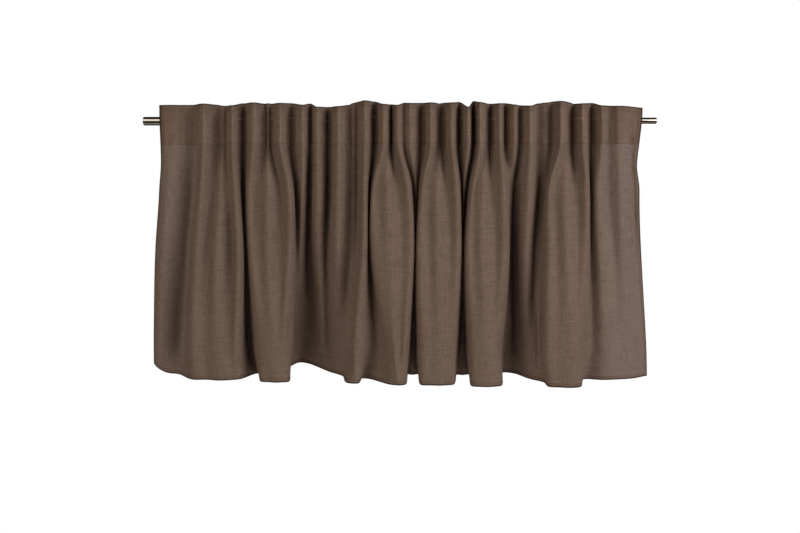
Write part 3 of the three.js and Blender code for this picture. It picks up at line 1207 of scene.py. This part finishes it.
@dataclass
class TelescopicRod:
    """The curtain rod: a thick tube from the left end, and a thin one that slides in it from the right."""

    half_length: float = 563
    outer_radius: float = 9.5
    outer_open_end: float = 140
    inner_radius: float = 8.0
    inner_open_end: float = -60

    def radius_at(self, across: float) -> float:
        """The rod's outer radius at a place along it."""
        return self.outer_radius if across < self.outer_open_end else self.inner_radius

    def build(self) -> list[bpy.types.Object]:
        """Makes and dresses both tubes.

        Returns:
            The outer tube and the inner one.
        """
        steel = SatinSteel().build()
        outer = RodTube(
            "rod_outer_tube_fine",
            "rod_outer_tube",
            "rod_outer",
            radius=self.outer_radius,
            closed_end=-self.half_length,
            open_end=self.outer_open_end,
        )
        inner = RodTube(
            "rod_inner_tube_fine",
            "rod_inner_tube",
            "rod_inner",
            radius=self.inner_radius,
            closed_end=self.half_length,
            open_end=self.inner_open_end,
        )
        return [tube.build(steel) for tube in (outer, inner)]


@dataclass
class HeadingTape:
    """The woven tape behind the cloth's heading, sewn along both its edges."""

    folds: HangingFolds
    top: float = 22
    bottom: float = -52
    behind_cloth: float = 1.35
    thickness: float = 0.9
    rows: int = 10
    inset_columns: int = 4
    sewn_from_edge: float = 2.5

    def row_heights(self) -> np.ndarray:
        """The heights of the mesh's rows, top first."""
        return np.linspace(self.top, self.bottom, self.rows)

    def back_near(self, across: float, reach: float) -> float:
        """The rearmost place of the tape's back about a place along the rod.

        Args:
            across: The place along the rod.
            reach: How far to look on each side of it.

        Returns:
            The place behind the rod's axis, negative in front of it.
        """
        back = self.folds.surface(self.row_heights(), self.behind_cloth + self.thickness / 2).reshape(-1, 3)
        return float(back[np.abs(back[:, 0] - across) < reach, 1].max())

    def build(self, straps: list[bpy.types.Object]) -> bpy.types.Object:
        """Makes and dresses the tape.

        Args:
            straps: The straps that are sewn to it; not used.

        Returns:
            The tape's object.
        """
        heights = self.row_heights()
        grid = self.folds.surface(heights, self.behind_cloth)[:, self.inset_columns : -self.inset_columns]
        flat_across = flat_places(grid)
        width, drop = float(flat_across[-1]), self.top - self.bottom
        made = sheet_object("heading_tape_fine", grid, flat_across, self.top - heights)
        seams = (self.sewn_from_edge, drop - self.sewn_from_edge)
        made.data.materials.append(WovenTape("woven_heading_tape", seams).build())
        thicken(made, self.thickness)
        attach(made, "root")
        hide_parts("heading_tape")
        return made


@dataclass
class RodStraps:
    """The woven straps that tie the tape's held folds to the rod, each over the rod's back."""

    folds: HangingFolds
    rod: TelescopicRod
    tape: HeadingTape
    width: float = 12
    thickness: float = 0.9
    clearance: float = 0.35
    tab_top: float = 21
    leaves_tape_above: float = 14
    meets_tape_below: float = -24
    tab_bottom: float = -36
    bend: float = 2.5
    bend_points: int = 6
    arc_steps: int = 22
    columns: int = 7
    sewn_from_end: float = 3.5

    def path(self, across: float) -> np.ndarray:
        """The line down a strap's middle, as places behind the rod's axis and heights.

        Args:
            across: The strap's place along the rod.

        Returns:
            Points from its upper end to its lower one.
        """
        wrap = self.rod.radius_at(across) + self.clearance + self.thickness / 2
        tab = self.tape.back_near(across, self.width) + self.clearance + self.thickness / 2
        above, below = np.array([tab, self.leaves_tape_above]), np.array([tab, self.meets_tape_below])
        start = math.atan2(above[1], above[0]) - math.acos(wrap / math.hypot(*above))
        end = math.atan2(below[1], below[0]) + math.acos(wrap / math.hypot(*below))
        turns = np.linspace(start, end, self.arc_steps + 1)
        around = wrap * np.stack([np.cos(turns), np.sin(turns)], axis=1)
        top, bottom = np.array([tab, self.tab_top]), np.array([tab, self.tab_bottom])
        upper_bend = self.bend_at(top, above, around[0])
        lower_bend = self.bend_at(around[-1], below, bottom)
        return np.vstack([top, upper_bend, around, lower_bend, bottom])

    def bend_at(self, before: np.ndarray, corner: np.ndarray, after: np.ndarray) -> np.ndarray:
        """A soft bend about a corner between two places.

        Args:
            before: The place before the corner.
            corner: The corner.
            after: The place after it.

        Returns:
            The bend's points, in order.
        """
        leave = corner + self.bend * (before - corner) / np.linalg.norm(before - corner)
        reach = corner + self.bend * (after - corner) / np.linalg.norm(after - corner)
        t = np.linspace(0, 1, self.bend_points)[:, None]
        return (1 - t) ** 2 * leave + 2 * t * (1 - t) * corner + t**2 * reach

    def build(self) -> list[bpy.types.Object]:
        """Makes and dresses the straps.

        Returns:
            The straps' objects, from the left.
        """
        held = [line.across[0] for line in self.folds.lines if line.kind is FoldKind.HELD]
        across = np.linspace(-self.width / 2, self.width / 2, self.columns)
        straps = []
        for number, place in enumerate(held, 1):
            path = self.path(place)
            down = running_total(np.linalg.norm(np.diff(path, axis=0), axis=1))
            grid = np.array([[(place + x, y, z) for x in across] for y, z in path])
            made = sheet_object(f"rod_strap_{number:02d}_fine", grid, across - across[0], down)
            ends = (self.sewn_from_end, float(down[-1]) - self.sewn_from_end)
            made.data.materials.append(WovenTape(f"woven_rod_strap_{number:02d}", ends).build())
            thicken(made, self.thickness)
            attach(made, "root")
            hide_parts(f"rod_strap_{number:02d}")
            straps.append(made)
        return straps


@dataclass(frozen=True)
class SoftLight:
    """A square area light, its places and size in metres and its power in watts."""

    name: str
    place: Place
    aim: Place
    size: float
    power: float
    tint: Color

    def build(self) -> None:
        """Adds the light to the scene."""
        data = bpy.data.lights.new(self.name, "AREA")
        data.size = self.size
        data.energy = self.power
        data.color = self.tint
        made = bpy.data.objects.new(self.name, data)
        made.location = self.place
        made.rotation_euler = (Vector(self.aim) - Vector(self.place)).to_track_quat("-Z", "Y").to_euler()
        bpy.context.scene.collection.objects.link(made)


@dataclass
class Studio:
    """Camera, white surround, pale floor and soft light."""

    distance: float = 1600
    camera_across: float = 0
    camera_height: float = -207
    view_width: float = 1760
    sensor_width: float = 36
    sight_metres: float = 50
    shift_down: float = 0.064
    floor_height: float = -1350
    floor_side: float = 1500
    floor_front: float = -900
    floor_back: float = 450
    floor_color: Color = (0.95, 0.95, 0.95)
    floor_roughness: float = 0.9
    surround_glow: float = 0.035
    glow_tint: Color = (1.0, 0.85, 0.70)
    lights: tuple[SoftLight, ...] = (
        SoftLight("key", (2.60, -2.18, 1.25), (0, 0, -0.25), 2.4, 115, (0.985, 0.99, 1.05)),
        SoftLight("fill", (-2.20, -2.62, 1.15), (0, 0, -0.25), 2.4, 61, (1.03, 0.985, 0.92)),
        SoftLight("back", (1.05, 0.75, -0.20), (0.50, 0.0, -0.25), 0.7, 22, (1.0, 0.96, 1.04)),
    )

    def surround(self) -> bpy.types.World:
        """Makes a surround that is seen white and lights the cloth only weakly.

        Returns:
            The world.
        """
        world = bpy.data.worlds.new("white_surround")
        world.use_nodes = True
        tree = world.node_tree
        seen = tree.nodes["Background"]
        seen.inputs[0].default_value = (1, 1, 1, 1)
        seen.inputs[1].default_value = 1.0
        glow = tree.nodes.new("ShaderNodeBackground")
        glow.inputs[0].default_value = (*self.glow_tint, 1)
        glow.inputs[1].default_value = self.surround_glow
        path = tree.nodes.new("ShaderNodeLightPath")
        mix = tree.nodes.new("ShaderNodeMixShader")
        tree.links.new(path.outputs["Is Camera Ray"], mix.inputs[0])
        tree.links.new(glow.outputs[0], mix.inputs[1])
        tree.links.new(seen.outputs[0], mix.inputs[2])
        tree.links.new(mix.outputs[0], tree.nodes["World Output"].inputs[0])
        return world

    def camera(self) -> None:
        """Makes the camera."""
        data = bpy.data.cameras.new("camera")
        data.sensor_width = self.sensor_width
        data.lens = self.sensor_width * self.distance / self.view_width
        data.shift_y = -self.shift_down
        data.clip_end = self.sight_metres
        made = bpy.data.objects.new("camera", data)
        made.location = (self.camera_across * MM, -self.distance * MM, self.camera_height * MM)
        made.rotation_euler = (math.pi / 2, 0, 0)
        bpy.context.scene.collection.objects.link(made)
        bpy.context.scene.camera = made

    def floor(self) -> None:
        """Makes the floor."""
        side, front, back, down = self.floor_side, self.floor_front, self.floor_back, self.floor_height
        corners = [(-side, front, down), (side, front, down), (side, back, down), (-side, back, down)]
        made = mesh_object("floor", np.array(corners, float), [(0, 1, 2, 3)])
        nodes = Nodes("pale_floor")
        inputs = {"Base Color": (*self.floor_color, 1), "Roughness": self.floor_roughness}
        made.data.materials.append(nodes.finished(nodes.add("ShaderNodeBsdfPrincipled", inputs)))

    def build(self) -> None:
        """Sets up the studio."""
        self.camera()
        scene = bpy.context.scene
        scene.view_settings.view_transform = "Standard"
        scene.world = self.surround()
        self.floor()
        for light in self.lights:
            light.build()


def main() -> None:
    """Builds the valance on its rod, and reports each piece."""
    logging.basicConfig(level=logging.INFO, format="%(name)s: %(message)s")
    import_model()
    Studio().build()
    folds, rod = HangingFolds(), TelescopicRod()
    tape = HeadingTape(folds)
    tubes = rod.build()
    cloth = ValanceCloth(folds).build()
    straps = RodStraps(folds, rod, tape).build()
    for made in (*tubes, cloth, *straps, tape.build(straps)):
        LOG.info("%s: %d faces", made.name, len(made.data.polygons))
    bpy.context.view_layer.update()


if __name__ == "__main__":
    main()
